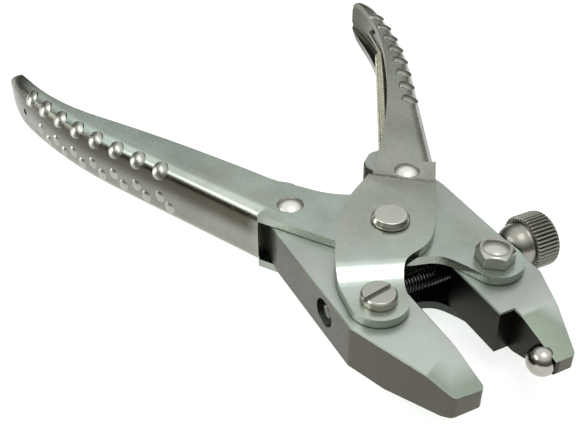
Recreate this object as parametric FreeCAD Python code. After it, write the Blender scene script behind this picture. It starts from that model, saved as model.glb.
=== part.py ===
import FreeCAD, Part
import math
import os
from FreeCAD import Vector

# Parallel-action pliers for repairing wind instruments, shown open on their side.
# Millimetres. X runs to the noses, +Y to the right jaw, Z up through the pivots.
# The origin is on the main pivot's axis, in the plane of its lower head.

os.makedirs("parts", exist_ok=True)

# Linkage: four arms of one length, from the main pivot to the two jaw pivots in
# front and the two rear rivets behind.
arm_length = 22.2
front_half_angle = 36.8
rear_half_angle = 41.5
closing_turn = 16.5

# Layers, counted outwards from the middle plane
jaw_thickness = 10.0
jaw_side_clearance = 0.1
sheet = 1.9
lap_clearance = 0.1
overrun = 12.0

# Main pivot
pivot_shank_radius = 2.5
pivot_head_radius = 4.0
pivot_head_top_radius = 3.4
pivot_head_height = 1.6
pivot_head_land = 0.7
sleeve_radius = 3.6
running_clearance = 0.05

# Jaw pivots: cheese-head screw, bush, hexagon nut and a peened end
screw_radius = 2.0
screw_head_radius = 3.53
screw_head_height = 1.8
screw_head_edge = 0.35
screw_slot_width = 1.0
screw_slot_depth = 0.9
screw_slot_angle = 101.0
bush_radius = 3.2
nut_across_flats = 7.0
nut_height = 2.9
nut_corner_drop = 0.6
nut_angle = -8.0
peen_radius = 2.7
peen_height = 0.6

# Rear rivets
rivet_radius = 2.0
rivet_head_radius = 2.95
rivet_head_height = 1.1
slot_side_clearance = 0.05
slot_end_clearance = 0.3

# Sheet handles: cheeks in front, a channel behind. The channel's mouth is straight
# out from the rear rivet, and the palm edge is placed from the same rivet.
lobe_radius = 5.9
mouth_rise = 7.8
grip_slope = 25.9
grip_straight = 44.6
grip_bow_radius = 150.0
grip_bow_turn = 15.0
end_bow_radius = 46.0
end_bow_turn = 17.0
bend_radius = 3.4
left_palm_start_back = 12.5
left_palm_start_rise = 0.3
left_palm_end_back = 55.4
left_palm_end_rise = 26.1
left_palm_slope = 34.0
right_palm_start_back = 11.6
right_palm_start_rise = -0.2
right_palm_end_back = 55.4
right_palm_end_rise = 27.2
right_palm_slope = 25.5
tip_radius = 1.3
tip_lean = 7.0
tip_brow_angle = 17.0
tip_corner_radius = 6.3
sheet_hole_clearance = 0.02

# Cheek outline in shares of the arm's length: along the front arm, then across it
lobe_inner_angle = -65.0
lobe_outer_angle = 75.0
cheek_inner_shares = (
    (0.94, -0.33), (0.77, -0.395), (0.54, -0.44), (0.30, -0.46), (0.04, -0.465),
    (-0.21, -0.445), (-0.41, -0.397),
)
left_rear_inner_shares = ((-0.57, -0.322), (-0.81, -0.252), (-1.12, -0.24))
right_rear_inner_shares = ((-0.60, -0.33), (-0.83, -0.262), (-1.10, -0.243))
cheek_outer_shares = (
    (0.87, 0.225), (0.70, 0.187), (0.56, 0.185), (0.455, 0.237), (0.34, 0.325),
    (0.20, 0.385), (0.0, 0.41), (-0.29, 0.40),
)

# The right handle's cheeks step outwards over the left handle's. Each step is placed
# from the pivot or rivet that it faces.
front_step_angle = -20.9
front_step_back = 8.05
front_step_run = 3.0
front_step_bend_radius = 4.0
rear_step_angle = 140.85
rear_step_back = 5.98
rear_step_run = 2.6
rear_step_bend_radius = 2.0

# Grip bumps: three rows of pressed domes along each handle's outer wall
bump_root = 0.8
bend_row_radius = 2.15
bend_row_height = 0.5
side_row_radius = 1.5
side_row_height = 0.5
bend_row_first = 29.4
bend_row_pitch = 7.24
bend_row_count = 8
middle_row_first = 29.6
middle_row_pitch = 7.67
middle_row_count = 7
middle_row_level = -1.1
lower_row_first = 26.6
lower_row_pitch = 7.6
lower_row_count = 7
lower_row_level = -3.0
left_bend_row_angle = 40.0
right_bend_row_angle = 74.0

# Spring anchorage in the handles' outer walls
spring_hole_radius = 0.9
spring_hole_distance = 84.6

# Jaws: front places measured from the jaw's own pivot, tail places from the rear
# rivet that slides in it
face_y = 6.0
relief_inset = 3.5
outer_reach = 7.6
step_back = 3.8
left_taper_ahead = 2.5
right_taper_ahead = 5.2
nose_ahead = 24.6
notch_ahead = 12.0
left_nose_inset = 0.2
left_nose_width = 6.6
right_nose_inset = 3.3
right_nose_width = 4.5
tail_taper_ahead = 6.0
tail_outer_reach = 4.0
tail_end_back = 13.0
tail_end_inset = 2.1
tail_lobe_back = 9.4
tail_lobe_inset = 6.1
tail_cut_back = 4.5
jaw_edge_break = 0.25
jaw_corner_radius = 0.5
nose_corner_radius = 1.2

# Slopes of the noses: angle of the line where one starts, its length and its drop
left_facet_angle = -26.0
left_facet_length = 12.6
left_facet_drop = 2.5
left_under_length = 15.0
left_under_drop = 3.1
right_facet_angle = 2.0
right_facet_length = 10.6
right_facet_drop = 2.6
right_under_length = 12.0
right_under_drop = 3.8
under_bevel_length = 2.2
under_bevel_drop = 1.1

# Forming ball on the right nose
ball_radius = 3.0
ball_back = 3.1
ball_proud = 0.2
ball_level = 0.2
stud_radius = 1.0
stud_depth = 3.0

# Thumb screw across the jaws
thumb_share = 0.59
thumb_level = 0.7
thread_radius = 2.0
thumb_hole_clearance = 0.15
rod_end_recess = 0.5
counterbore_radius = 3.0
counterbore_depth = 1.6
neck_radius = 4.9
neck_gap = 0.2
neck_rise = 5.4
knob_radius = 6.1
knob_length = 6.0
knob_rim = 0.9
rib_count = 44
rib_height = 0.28
rib_fill_share = 0.5
knob_socket_depth = 3.0

# Return spring in the right handle, from the right jaw's tail to the outer wall
wire_radius = 0.5
coil_radius = 1.4
coil_turns = 32
coil_pitch = 1.6
spring_slope = 29.77
spring_front_lead = 7.4
lead_bend = 3.2
hook_bend_radius = 1.4
hook_end_length = 1.9
tail_pin_radius = 0.8
tail_pin_gap = 0.15
tail_pin_back = 10.8
tail_pin_rise = 1.8
tail_slit_height = 1.5
tail_slit_back = 9.6

# Worked-out levels and places
cheek_in = jaw_thickness / 2 + jaw_side_clearance
cheek_out = cheek_in + sheet
lap_in = cheek_out + lap_clearance
lap_out = lap_in + sheet
head_in = lap_out + lap_clearance
middle_z = head_in + pivot_head_height


def turned(angle, length=1.0):
    """A plan vector of this length at this angle in degrees."""
    turn = math.radians(angle)
    return Vector(length * math.cos(turn), length * math.sin(turn), 0)


right_arm_joint = turned(-front_half_angle, arm_length)
left_arm_joint = turned(front_half_angle, arm_length)
right_rear_joint = turned(180 - rear_half_angle, arm_length)
left_rear_joint = turned(180 + rear_half_angle, arm_length)

# Places in the plan that follow the joints
mouth = right_rear_joint + Vector(0, mouth_rise, 0)
left_palm = (
    right_rear_joint + Vector(-left_palm_start_back, left_palm_start_rise, 0),
    right_rear_joint + Vector(-left_palm_end_back, left_palm_end_rise, 0),
    left_palm_slope,
)
right_palm = (
    right_rear_joint + Vector(-right_palm_start_back, right_palm_start_rise, 0),
    right_rear_joint + Vector(-right_palm_end_back, right_palm_end_rise, 0),
    right_palm_slope,
)
relief_y = left_arm_joint.y - relief_inset
outer_y = left_arm_joint.y + outer_reach
nose_x = left_arm_joint.x + nose_ahead
thumb_x = left_arm_joint.x * thumb_share
right_nose_y = face_y + right_nose_inset
ball_centre = Vector(nose_x - ball_back, right_nose_y - ball_proud, ball_level)
tail_pin_place = right_rear_joint + Vector(-tail_pin_back, tail_pin_rise, 0)
handle_span = arm_length + grip_straight + grip_bow_radius
front_step_start = arm_length * math.cos(math.radians(front_half_angle + front_step_angle)) - front_step_back
rear_step_start = (arm_length * math.cos(math.radians(180 - rear_half_angle - rear_step_angle))
                   - rear_step_back)


def plan_mirror(shape):
    return shape.mirror(Vector(0, 0, 0), Vector(0, 1, 0))


def level_mirror(shape):
    return shape.mirror(Vector(0, 0, 0), Vector(0, 0, 1))


def disc(centre, radius, low, high):
    base = Vector(centre.x, centre.y, low)
    return Part.makeCylinder(radius, high - low, base, Vector(0, 0, 1))


def prism(edges, low, high):
    """Closed plan edges, raised from the low to the high level."""
    wire = Part.Wire(Part.__sortEdges__(edges))
    face = Part.Face(wire)
    face.translate(Vector(0, 0, low))
    return face.extrude(Vector(0, 0, high - low))


def rounded_corners(corners):
    """Edges of a closed polygon in the plan, each corner given as (point, radius)."""
    ends = []
    edges = []
    count = len(corners)
    for index, (point, radius) in enumerate(corners):
        before = (corners[index - 1][0] - point).normalize()
        after = (corners[(index + 1) % count][0] - point).normalize()
        if radius == 0:
            ends.append((point, point))
            continue
        half = before.getAngle(after) / 2
        reach = radius / math.tan(half)
        middle = (before + after).normalize()
        start = point + before * reach
        end = point + after * reach
        top = point + middle * (radius / math.sin(half) - radius)
        edges.append(Part.Arc(start, top, end).toShape())
        ends.append((start, end))
    for index in range(count):
        start = ends[index][1]
        end = ends[(index + 1) % count][0]
        if start.distanceToPoint(end) > Part.Precision.confusion():
            edges.append(Part.LineSegment(start, end).toShape())
    return edges


def lathe(profile, base=Vector(0, 0, 0), axis=Vector(0, 0, 1)):
    """Turn straight-sided (radius, height) points into a solid along an axis."""
    points = [Vector(radius, 0, height) for radius, height in profile]
    face = Part.Face(Part.makePolygon(points + points[:1]))
    solid = face.revolve(Vector(0, 0, 0), Vector(0, 0, 1), 360)
    solid.Placement = FreeCAD.Placement(base, FreeCAD.Rotation(Vector(0, 0, 1), axis))
    return solid


def dome(radius, height, low):
    """A round cap on a level plane, its sphere worked out from radius and height."""
    sphere_radius = (radius ** 2 + height ** 2) / (2 * height)
    centre = Vector(0, 0, low + height - sphere_radius)
    ball = Part.makeSphere(sphere_radius, centre)
    keep = disc(Vector(0, 0, 0), radius * 2, low, low + height * 2)
    return ball.common(keep)


# Handles

def arm_frame(along, across):
    """Right handle's arm coordinates, in shares of the arm's length, to the plan."""
    front = turned(-front_half_angle, arm_length)
    side = turned(90 - front_half_angle, arm_length)
    return front * along + side * across


def spline(points, start_way, end_way):
    curve = Part.BSplineCurve()
    curve.interpolate(Points=points, InitialTangent=start_way, FinalTangent=end_way)
    return curve.toShape()


def wall_line(depth):
    """Straight part of the outer wall's plan line, set inwards by a depth."""
    start = mouth - turned(90 - grip_slope, depth)
    return start, start + turned(180 - grip_slope, grip_straight)


def wall_bend(turn, depth):
    """Point on the wall's bow or on its end bend after a turn, and the way out."""
    outward = turned(90 - grip_slope + turn)
    centre = wall_line(grip_bow_radius)[1]
    if turn <= grip_bow_turn:
        return centre + outward * (grip_bow_radius - depth), outward
    centre += turned(90 - grip_slope + grip_bow_turn, grip_bow_radius - end_bow_radius)
    return centre + outward * (end_bow_radius - depth), outward


def arc_into(start, end, end_way):
    """Arc that arrives at end along a way, and the way in which it leaves start."""
    chord = (end - start).normalize()
    start_way = chord * (2 * chord.dot(end_way)) - end_way
    middle = arc_middle(start, start_way, end)
    return Part.Arc(start, middle, end).toShape(), start_way


def tip_centre():
    """Centre of the tip's rounding, just inside the wall's end bend."""
    place, outward = wall_bend(grip_bow_turn + end_bow_turn, tip_radius)
    return place


def tip_edges():
    """The rounded tip from the palm side, then a line that leaves through the wall."""
    centre = tip_centre()
    low = 270 - tip_lean
    high = 90 - grip_slope + grip_bow_turn + end_bow_turn + tip_brow_angle
    inner = centre + turned(low, tip_radius)
    outer = centre + turned(high, tip_radius)
    past_wall = outer + turned(high - 90, overrun * 3)
    half_way = centre + turned((low + high) / 2, tip_radius)
    leaving = Part.LineSegment(outer, past_wall)
    return inner, past_wall, [Part.Arc(inner, half_way, outer).toShape(), leaving.toShape()]


def handle_outline(palm_line, rear_inner_shares):
    """A handle's outline on the +Y side, cheek and channel, left wide outside the wall."""
    lobe = right_arm_joint
    inner_start = lobe + turned(lobe_inner_angle - front_half_angle, lobe_radius)
    outer_start = lobe + turned(lobe_outer_angle - front_half_angle, lobe_radius)
    lobe_top = lobe + turned(-front_half_angle, lobe_radius)
    edges = [Part.Arc(inner_start, lobe_top, outer_start).toShape()]

    tip_inner, past_wall, tip = tip_edges()
    palm_start, palm_end, palm_slope = palm_line
    palm_way = turned(180 - palm_slope)
    palm, start_way = arc_into(palm_start, palm_end, palm_way)
    inner_shares = cheek_inner_shares + rear_inner_shares
    inner = [inner_start] + [arm_frame(*share) for share in inner_shares] + [palm_start]
    first = turned(lobe_inner_angle - front_half_angle - 90)
    edges.append(spline(inner, first, start_way))
    edges.append(palm)
    edges.append(Part.Arc(palm_end, arc_middle(palm_end, palm_way, tip_inner), tip_inner).toShape())
    edges += tip

    outside = mouth + turned(135 - grip_slope, overrun)
    edges.append(Part.LineSegment(past_wall, outside).toShape())
    edges.append(Part.LineSegment(outside, mouth).toShape())
    outer = [outer_start] + [arm_frame(*share) for share in cheek_outer_shares]
    last = (mouth - outer[-1]).normalize()
    edges.append(spline(outer, turned(lobe_outer_angle - front_half_angle + 90), last))
    edges.append(Part.LineSegment(outer[-1], mouth).toShape())
    return edges


def within_wall(depth, level):
    """Everything inside the wall's face at a depth, up to a level, its bends rounded."""
    start, knee = wall_line(depth)
    bow_middle, outward = wall_bend(grip_bow_turn / 2, depth)
    bow_end, outward = wall_bend(grip_bow_turn, depth)
    end_middle, outward = wall_bend(grip_bow_turn + end_bow_turn, depth)
    past_tip, outward = wall_bend(grip_bow_turn + end_bow_turn * 2, depth)
    corner = mouth + turned(90 - grip_slope, overrun)
    far_front = Vector(nose_x + overrun, corner.y, 0)
    near_front = Vector(nose_x + overrun, -corner.y - overrun, 0)
    near_rear = Vector(past_tip.x, -corner.y - overrun, 0)
    edges = [
        Part.LineSegment(start, knee).toShape(),
        Part.Arc(knee, bow_middle, bow_end).toShape(),
        Part.Arc(bow_end, end_middle, past_tip).toShape(),
        Part.LineSegment(past_tip, near_rear).toShape(),
        Part.LineSegment(near_rear, near_front).toShape(),
        Part.LineSegment(near_front, far_front).toShape(),
        Part.LineSegment(far_front, corner).toShape(),
        Part.LineSegment(corner, start).toShape(),
    ]
    room = prism(edges, -level, level)
    bends = []
    for place in ((start + knee) * 0.5, bow_middle, end_middle):
        bends += level_edges(room, place, level)
    return room.makeFillet(bend_radius - depth, bends)


def level_edges(shape, place, level):
    """The upper and lower edges that pass over and under a place in the plan."""
    found = []
    for sign in (1, -1):
        probe = Part.Vertex(place.x, place.y, sign * level)
        found.append(min(shape.Edges, key=lambda edge: edge.distToShape(probe)[0]))
    return found


def step_region(angle, start, run, bend, level):
    """Everything nearer the middle than a face that steps inwards along an angle."""
    rise = sheet + lap_clearance
    far = arm_length * 2
    upper = [
        (Vector(-far, 0, -level), 0),
        (Vector(-far, 0, level), 0),
        (Vector(start, 0, level), bend),
        (Vector(start + run, 0, level - rise), bend),
        (Vector(far, 0, level - rise), 0),
        (Vector(far, 0, rise - level), 0),
        (Vector(start + run, 0, rise - level), bend),
        (Vector(start, 0, -level), bend),
    ]
    face = Part.Face(Part.Wire(Part.__sortEdges__(rounded_corners(upper))))
    face.translate(Vector(0, -far, 0))
    solid = face.extrude(Vector(0, far * 2, 0))
    solid.rotate(Vector(0, 0, 0), Vector(0, 0, 1), angle)
    return solid


def tip_region():
    """Everything short of the tip, with the end's upper and lower corners rounded."""
    end = turned(180 - tip_lean).dot(tip_centre()) + tip_radius
    high = cheek_out + lap_clearance
    corners = [
        (Vector(-handle_span, 0, -high), 0),
        (Vector(end, 0, -high), tip_corner_radius),
        (Vector(end, 0, high), tip_corner_radius),
        (Vector(-handle_span, 0, high), 0),
    ]
    face = Part.Face(Part.Wire(Part.__sortEdges__(rounded_corners(corners))))
    face.translate(Vector(0, -handle_span, 0))
    solid = face.extrude(Vector(0, handle_span * 2, 0))
    solid.rotate(Vector(0, 0, 0), Vector(0, 0, 1), 180 - tip_lean)
    return solid


def wall_place(distance):
    """Point on the outer wall at this distance from the mouth, and the way out."""
    past_straight = distance - grip_straight
    if past_straight <= 0:
        return mouth + turned(180 - grip_slope, distance), turned(90 - grip_slope)
    past_bow = past_straight - math.radians(grip_bow_turn) * grip_bow_radius
    turn = past_straight / grip_bow_radius
    if past_bow > 0:
        turn = math.radians(grip_bow_turn) + past_bow / end_bow_radius
    return wall_bend(math.degrees(turn), 0)


def bump(place, outward, radius, height):
    """One pressed dome that stands on a place, pointing outwards."""
    sphere_radius = (radius ** 2 + height ** 2) / (2 * height)
    ball = Part.makeSphere(sphere_radius, place + outward * (height - sphere_radius))
    root = Part.makeCylinder(radius, bump_root + height * 2, place - outward * bump_root, outward)
    return ball.common(root)


def grip_bumps(bend_row_angle):
    bumps = []
    for index in range(bend_row_count):
        place, outward = wall_place(bend_row_first + bend_row_pitch * index)
        lean = math.radians(bend_row_angle)
        out = outward * math.cos(lean) + Vector(0, 0, math.sin(lean))
        middle = place - outward * bend_radius + Vector(0, 0, cheek_out - bend_radius)
        bumps.append(bump(middle + out * bend_radius, out, bend_row_radius, bend_row_height))
    rows = (
        (middle_row_first, middle_row_pitch, middle_row_count, middle_row_level),
        (lower_row_first, lower_row_pitch, lower_row_count, lower_row_level),
    )
    for first, pitch, count, level in rows:
        for index in range(count):
            place, outward = wall_place(first + pitch * index)
            place += Vector(0, 0, level)
            bumps.append(bump(place, outward, side_row_radius, side_row_height))
    return bumps


def channel_handle(edges):
    """A handle on the +Y side with flat cheeks: outline, bent outer wall and hollow."""
    high = cheek_out + overrun
    body = prism(edges, -high, high)
    body = body.common(within_wall(0, cheek_out)).common(tip_region())
    return body.cut(within_wall(sheet, cheek_in))


def finish_handle(body, pivot_bore, bend_row_angle):
    """Press the bumps and drill the sheet."""
    body = body.fuse(grip_bumps(bend_row_angle))
    place, outward = wall_place(spring_hole_distance)
    hole = Part.makeCylinder(spring_hole_radius, sheet * 3, place - outward * sheet * 2, outward)
    drills = [
        disc(Vector(0, 0, 0), pivot_bore, -middle_z, middle_z),
        disc(right_arm_joint, screw_radius + sheet_hole_clearance, -middle_z, middle_z),
        disc(right_rear_joint, rivet_radius + sheet_hole_clearance, -middle_z, middle_z),
        hole,
    ]
    for drill in drills:
        body = body.cut(drill)
    return body


def flat_handle():
    body = channel_handle(handle_outline(left_palm, left_rear_inner_shares))
    return plan_mirror(finish_handle(body, pivot_shank_radius, left_bend_row_angle))


def stepped_handle():
    """Right handle: its cheeks run outside the left handle's round the main pivot."""
    edges = handle_outline(right_palm, right_rear_inner_shares)
    tall = prism(edges, -lap_out - overrun, lap_out + overrun)
    shells = []
    for step in (
        (front_step_angle, front_step_start, front_step_run, front_step_bend_radius),
        (rear_step_angle, rear_step_start, rear_step_run, rear_step_bend_radius),
    ):
        shell = tall.common(step_region(*step, lap_out))
        shells.append(shell.cut(step_region(*step, lap_in)))
    channel = half_space(rear_step_angle, rear_step_start + rear_step_run * 2)
    front = shells[0].cut(half_space(180, 0))
    middle = shells[1].cut(half_space(0, 0)).cut(channel)
    rear = channel_handle(edges).common(channel)
    body = front.fuse([middle, rear]).removeSplitter()
    return finish_handle(body, pivot_shank_radius + running_clearance, right_bend_row_angle)


def half_space(angle, distance):
    """A large block beyond a distance along an angle."""
    size = handle_span
    block = Part.makeBox(size, size * 2, size, Vector(distance, -size, -size / 2))
    block.rotate(Vector(0, 0, 0), Vector(0, 0, 1), angle)
    return block


# Jaws

def nose_facet(angle, length, drop, depth=0):
    """A wedge that slopes the nose's upper face down over a length to the nose's end."""
    level = jaw_thickness / 2 - depth
    points = [
        Vector(-length, 0, level),
        Vector(length, 0, level - drop * 2),
        Vector(length, 0, level + overrun),
        Vector(-length, 0, level + overrun),
    ]
    face = Part.Face(Part.makePolygon(points + points[:1]))
    face.translate(Vector(0, -nose_x, 0))
    wedge = face.extrude(Vector(0, nose_x * 2, 0))
    wedge.rotate(Vector(0, 0, 0), Vector(0, 0, 1), angle)
    wedge.translate(Vector(nose_x, 0, 0))
    return wedge


def under_facets(length, drop):
    """The nose's lower slope, steeper again just at the end."""
    depth = drop * (length - under_bevel_length) / length
    slope = nose_facet(0, length, drop)
    bevel = nose_facet(0, under_bevel_length, under_bevel_drop, depth)
    return [level_mirror(slope), level_mirror(bevel)]


def jaw_blank(nose_corners, taper_x):
    """A jaw's plate on the +Y side, from the nose's corners round to the tail."""
    pivot = left_arm_joint
    rivet = right_rear_joint
    tail_end_x = rivet.x - tail_end_back
    corners = nose_corners + [
        (Vector(taper_x, outer_y, 0), jaw_corner_radius * 4),
        (Vector(rivet.x + tail_taper_ahead, outer_y, 0), jaw_corner_radius * 4),
        (Vector(tail_end_x, rivet.y + tail_outer_reach, 0), jaw_corner_radius * 3),
        (Vector(tail_end_x, rivet.y - tail_end_inset, 0), jaw_corner_radius * 4),
        (Vector(rivet.x - tail_lobe_back, rivet.y - tail_lobe_inset, 0), jaw_corner_radius * 5),
        (Vector(rivet.x - tail_cut_back, relief_y, 0), jaw_corner_radius * 2),
        (Vector(pivot.x - step_back, relief_y, 0), jaw_corner_radius),
        (Vector(pivot.x - step_back, face_y, 0), 0),
    ]
    half = jaw_thickness / 2
    blank = prism(rounded_corners(corners), -half, half)
    rims = [edge for edge in blank.Edges if abs(abs(edge.CenterOfMass.z) - half) < jaw_edge_break]
    return blank.makeChamfer(jaw_edge_break, rims)


def jaw_slot():
    """Slot for the rear rivet, in line with the jaw's own pivot."""
    rest = (left_arm_joint - right_rear_joint).Length
    half_sum = math.radians((front_half_angle + rear_half_angle) / 2 - closing_turn)
    closed = 2 * arm_length * math.cos(half_sum)
    half_width = rivet_radius + slot_side_clearance
    way = (right_rear_joint - left_arm_joint).normalize()
    side = Vector(-way.y, way.x, 0)
    near = left_arm_joint + way * (rest - slot_end_clearance)
    far = left_arm_joint + way * (closed + slot_end_clearance)
    edges = [
        Part.LineSegment(near + side * half_width, far + side * half_width).toShape(),
        Part.Arc(far + side * half_width, far + way * half_width, far - side * half_width).toShape(),
        Part.LineSegment(far - side * half_width, near - side * half_width).toShape(),
        Part.Arc(near - side * half_width, near - way * half_width, near + side * half_width).toShape(),
    ]
    return prism(edges, -jaw_thickness, jaw_thickness)


def cross_bore(radius, low, high):
    """Bore along the thumb screw's line, between two distances from the middle."""
    base = Vector(thumb_x, low, thumb_level)
    return Part.makeCylinder(radius, high - low, base, Vector(0, 1, 0))


def drill_jaw(jaw, facets):
    half = jaw_thickness / 2
    bush_bore = disc(left_arm_joint, bush_radius + running_clearance, -half * 2, half * 2)
    for cutter in facets + [bush_bore, jaw_slot()]:
        jaw = jaw.cut(cutter)
    return jaw


def right_jaw():
    notch_x = left_arm_joint.x + notch_ahead
    corners = [
        (Vector(notch_x, face_y, 0), 0),
        (Vector(notch_x, right_nose_y, 0), 0),
        (Vector(nose_x, right_nose_y, 0), 0),
        (Vector(nose_x, right_nose_y + right_nose_width, 0), nose_corner_radius),
    ]
    facets = [nose_facet(right_facet_angle, right_facet_length, right_facet_drop)]
    facets += under_facets(right_under_length, right_under_drop)
    jaw = drill_jaw(jaw_blank(corners, left_arm_joint.x + right_taper_ahead), facets)
    hole = thread_radius + thumb_hole_clearance
    slit = Part.makeBox(overrun, outer_y, tail_slit_height,
                        Vector(right_rear_joint.x - tail_slit_back - overrun,
                               right_rear_joint.y - tail_lobe_inset - sheet,
                               -tail_slit_height / 2))
    pin_bore = disc(tail_pin_place, tail_pin_radius, -jaw_thickness, jaw_thickness)
    for cutter in (
        cross_bore(hole, 0, outer_y + overrun),
        Part.makeSphere(ball_radius, ball_centre),
        stud(),
        slit,
        pin_bore,
    ):
        jaw = jaw.cut(cutter)
    return jaw


def left_jaw():
    inner_y = face_y + left_nose_inset
    corners = [
        (Vector(nose_x, inner_y, 0), nose_corner_radius),
        (Vector(nose_x, inner_y + left_nose_width, 0), nose_corner_radius),
    ]
    facets = [nose_facet(left_facet_angle, left_facet_length, left_facet_drop)]
    facets += under_facets(left_under_length, left_under_drop)
    jaw = drill_jaw(jaw_blank(corners, left_arm_joint.x + left_taper_ahead), facets)
    hole = thread_radius + running_clearance
    jaw = jaw.cut(cross_bore(hole, 0, outer_y + overrun))
    jaw = jaw.cut(cross_bore(counterbore_radius, outer_y - counterbore_depth, outer_y + overrun))
    return plan_mirror(jaw)


# Pivots and fasteners

def pivot_head():
    return lathe([
        (0, head_in),
        (pivot_head_radius, head_in),
        (pivot_head_radius, head_in + pivot_head_land),
        (pivot_head_top_radius, middle_z),
        (0, middle_z),
    ])


def centre_pivot_rivet():
    head = pivot_head()
    shank = disc(Vector(0, 0, 0), pivot_shank_radius, -head_in, head_in)
    return shank.fuse([head, level_mirror(head)]).removeSplitter()


def centre_spacer_sleeve():
    outer = disc(Vector(0, 0, 0), sleeve_radius, -cheek_in, cheek_in)
    return outer.cut(disc(Vector(0, 0, 0), pivot_shank_radius, -cheek_in, cheek_in))


def jaw_screw():
    """Slotted cheese head on top, plain shank, end peened over the nut below."""
    head = lathe([
        (0, cheek_out),
        (screw_head_radius, cheek_out),
        (screw_head_radius, cheek_out + screw_head_height - screw_head_edge),
        (screw_head_radius - screw_head_edge, cheek_out + screw_head_height),
        (0, cheek_out + screw_head_height),
    ])
    slot = Part.makeBox(screw_head_radius * 4, screw_slot_width, screw_head_height,
                        Vector(-screw_head_radius * 2, -screw_slot_width / 2,
                               cheek_out + screw_head_height - screw_slot_depth))
    slot.rotate(Vector(0, 0, 0), Vector(0, 0, 1), screw_slot_angle)
    shank = disc(Vector(0, 0, 0), screw_radius, -cheek_out - nut_height, cheek_out)
    end = level_mirror(dome(peen_radius, peen_height, cheek_out + nut_height))
    return head.cut(slot).fuse([shank, end]).removeSplitter()


def jaw_nut():
    """Hexagon nut under the lower cheek, corners bevelled on its outer side."""
    corner = nut_across_flats / math.sqrt(3)
    points = [turned(nut_angle + 60 * index, corner) for index in range(6)]
    sides = [Part.LineSegment(points[index - 1], points[index]).toShape() for index in range(6)]
    block = prism(sides, cheek_out, cheek_out + nut_height)
    outside = lathe([
        (0, cheek_out),
        (corner * 2, cheek_out),
        (corner * 2, cheek_out + nut_height - nut_corner_drop * 2),
        (corner, cheek_out + nut_height - nut_corner_drop),
        (nut_across_flats / 2 - nut_corner_drop / 2, cheek_out + nut_height),
        (0, cheek_out + nut_height),
    ])
    bore = disc(Vector(0, 0, 0), screw_radius, cheek_out, cheek_out + nut_height)
    return level_mirror(block.common(outside).cut(bore))


def jaw_bush():
    outer = disc(Vector(0, 0, 0), bush_radius, -cheek_in, cheek_in)
    return outer.cut(disc(Vector(0, 0, 0), screw_radius, -cheek_in, cheek_in))


def rear_rivet():
    shank = disc(Vector(0, 0, 0), rivet_radius, -cheek_out, cheek_out)
    head = dome(rivet_head_radius, rivet_head_height, cheek_out)
    return shank.fuse([head, level_mirror(head)]).removeSplitter()


# Forming ball

def stud():
    length = ball_radius + stud_depth - jaw_edge_break * 2
    return Part.makeCylinder(stud_radius, length, ball_centre, Vector(0, 1, 0))


def forming_ball():
    return Part.makeSphere(ball_radius, ball_centre).cut(stud())


# Thumb screw

def thumb_screw_rod():
    low = rod_end_recess - outer_y
    high = outer_y + neck_gap + neck_radius + neck_rise - knob_socket_depth
    rod = cross_bore(thread_radius, low, high)
    ends = [edge for edge in rod.Edges if edge.Curve.TypeId == "Part::GeomCircle"]
    return rod.makeChamfer(screw_head_edge, ends)


def thumb_screw_head():
    """Round neck that bears on the right jaw, and a ribbed knob with a rounded rim."""
    start = outer_y + neck_gap
    neck = Part.makeSphere(neck_radius, Vector(0, 0, start + neck_radius))
    knob_low = start + neck_rise
    knob_high = knob_low + knob_length
    barrel = knob_radius - rib_height
    knob = Part.makeCylinder(barrel, knob_length, Vector(0, 0, knob_low))
    rim = [edge for edge in knob.Edges if abs(edge.CenterOfMass.z - knob_high) < knob_rim]
    knob = knob.makeFillet(knob_rim, [edge for edge in rim if edge.Curve.TypeId == "Part::GeomCircle"])
    ribs = []
    width = 2 * math.pi * barrel / rib_count * rib_fill_share
    for index in range(rib_count):
        rib = Part.makeBox(rib_height * 2, width, knob_length - knob_rim * 1.5,
                           Vector(barrel - rib_height, -width / 2, knob_low + knob_rim / 2))
        rib.rotate(Vector(0, 0, 0), Vector(0, 0, 1), 360 / rib_count * index)
        ribs.append(rib)
    head = knob.fuse([neck] + ribs)
    head = head.cut(Part.makeCylinder(thread_radius + running_clearance,
                                      knob_low + knob_socket_depth, Vector(0, 0, neck_gap)))
    head.Placement = FreeCAD.Placement(Vector(thumb_x, 0, thumb_level),
                                       FreeCAD.Rotation(Vector(0, 0, 1), Vector(0, 1, 0)))
    return head


# Return spring

def biarc(start, start_way, end, end_way):
    """Two arcs that leave start along one way and reach end along the other."""
    gap = end - start
    both = start_way + end_way
    ahead = gap.dot(both)
    spread = 4 - both.dot(both)
    if spread < Part.Precision.angular():
        reach = gap.dot(gap) / (2 * ahead)
    else:
        reach = (math.sqrt(ahead ** 2 + gap.dot(gap) * spread) - ahead) / spread
    joint = (start + start_way * reach + end - end_way * reach) * 0.5
    return [
        Part.Arc(start, arc_middle(start, start_way, joint), joint).toShape(),
        Part.Arc(joint, arc_middle(end, end_way * -1, joint), end).toShape(),
    ]


def arc_middle(start, way, end):
    """Middle point of the arc that leaves start along a way and ends at end."""
    chord = end - start
    length = chord.Length
    along = chord * (1 / length)
    lean = along.dot(way)
    across = way - along * lean
    sine = across.Length
    half = math.atan2(sine, lean)
    rise = length / 2 * math.tan(half / 2)
    return start + chord * 0.5 + across * (rise / sine)


def coil_stops():
    """Places and ways of the wire at each half turn of the coil, along its own axis."""
    climb = math.hypot(2 * math.pi * coil_radius, coil_pitch)
    stops = []
    for half_turn in range(2 * coil_turns + 1):
        angle = 180 * half_turn
        rise = spring_front_lead + coil_pitch * half_turn / 2
        place = turned(angle, coil_radius) + Vector(0, 0, rise)
        way = turned(angle + 90, 2 * math.pi * coil_radius / climb)
        stops.append((place, way + Vector(0, 0, coil_pitch / climb)))
    return stops


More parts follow.
